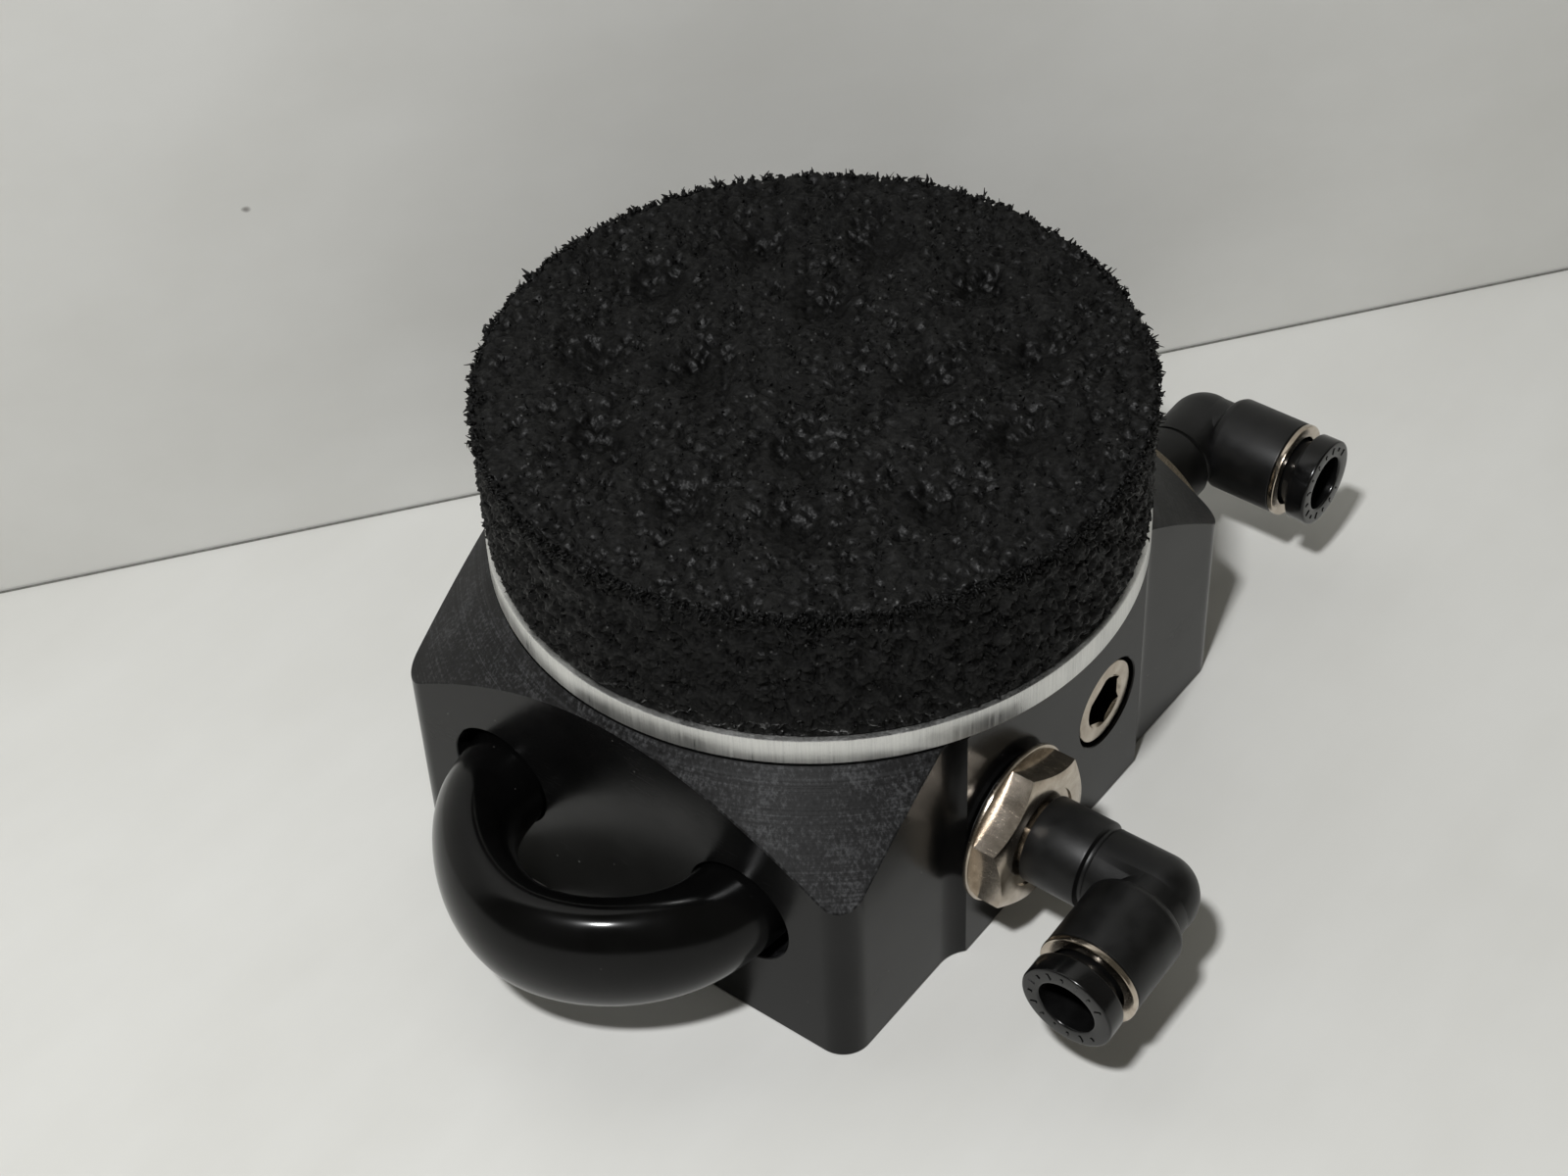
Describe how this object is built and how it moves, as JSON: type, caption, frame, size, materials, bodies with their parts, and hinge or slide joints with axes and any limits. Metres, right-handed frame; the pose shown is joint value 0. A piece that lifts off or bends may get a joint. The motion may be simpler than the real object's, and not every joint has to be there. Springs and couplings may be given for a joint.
{
  "type": "foam-pad vacuum gripper",
  "caption": "Foam-pad vacuum gripper: a black anodised block with a built-in ejector, a round sponge pad on a drilled plate, push-in elbow fittings and a short loop of hose.",
  "frame": {"origin": "middle of the block's flat underside, which is its mounting face", "axes": "+Z from the mounting face towards the foam pad; -Y is the side with the hose loop; +X is the side with the raised port boss"},
  "size_m": [0.1127, 0.1443, 0.0674],
  "materials": {
    "anodised": "black anodised, fine milled faces with a dull mirror sheen",
    "turned_aluminium": "bare turned edge",
    "black_rubber": "moulded seal rubber",
    "sponge_rubber": "open sponge with crumb texture",
    "steel": "plain machined",
    "gloss_hose": "black and mirror-glossy",
    "brass": "plain turned",
    "nickel": "warm nickel plate, lightly pitted",
    "sintered_bronze": "sintered, porous",
    "matte_plastic": "black glass-filled plastic with a fine grain",
    "gloss_plastic": "black gloss plastic"
  },
  "bodies": {
    "gripper": {"body": "anodised", "suction_plate": "turned_aluminium", "plate_gasket": "black_rubber", "foam_pad": "sponge_rubber", "filter_screen": "steel", "plate_screw_1": "steel", "plate_screw_2": "steel", "plate_screw_3": "steel", "plate_screw_4": "steel", "link_hose": "gloss_hose", "hose_spigot_left": "brass", "hose_spigot_right": "brass", "port_plug": "nickel", "ejector_nozzle": "brass", "nozzle_seal": "black_rubber", "ejector_diffuser": "brass", "diffuser_seal": "black_rubber", "silencer_core": "sintered_bronze", "vacuum_stem": "nickel", "vacuum_stem_seal": "black_rubber", "vacuum_swivel_seal": "black_rubber", "supply_stem": "nickel", "supply_stem_seal": "black_rubber", "supply_swivel_seal": "black_rubber"},
    "vacuum_elbow_body": {"vacuum_elbow": "matte_plastic", "vacuum_tube_seal": "black_rubber", "vacuum_grab_ring": "steel", "vacuum_collet_ring": "nickel"},
    "supply_elbow_body": {"supply_elbow": "matte_plastic", "supply_tube_seal": "black_rubber", "supply_grab_ring": "steel", "supply_collet_ring": "nickel"},
    "vacuum_button_body": {"vacuum_release_button": "gloss_plastic"},
    "supply_button_body": {"supply_release_button": "gloss_plastic"}
  },
  "joints": [
    {"name": "vacuum_elbow_swivel", "type": "hinge", "parent": "gripper", "child": "vacuum_elbow_body", "pos_m": [0.06145, -0.0125, 0.0192], "axis": [1, 0, 0], "continuous": true},
    {"name": "supply_elbow_swivel", "type": "hinge", "parent": "gripper", "child": "supply_elbow_body", "pos_m": [0.02, 0.0679, 0.0192], "axis": [0, 1, 0], "continuous": true},
    {"name": "vacuum_tube_release", "type": "slide", "parent": "vacuum_elbow_body", "child": "vacuum_button_body", "axis": [0, 0.9976, 0.0698], "range_m": [0, 0.0012], "stiffness_N_per_m": 300},
    {"name": "supply_tube_release", "type": "slide", "parent": "supply_elbow_body", "child": "supply_button_body", "axis": [-1, 0, 0], "range_m": [0, 0.0012], "stiffness_N_per_m": 300}
  ]
}
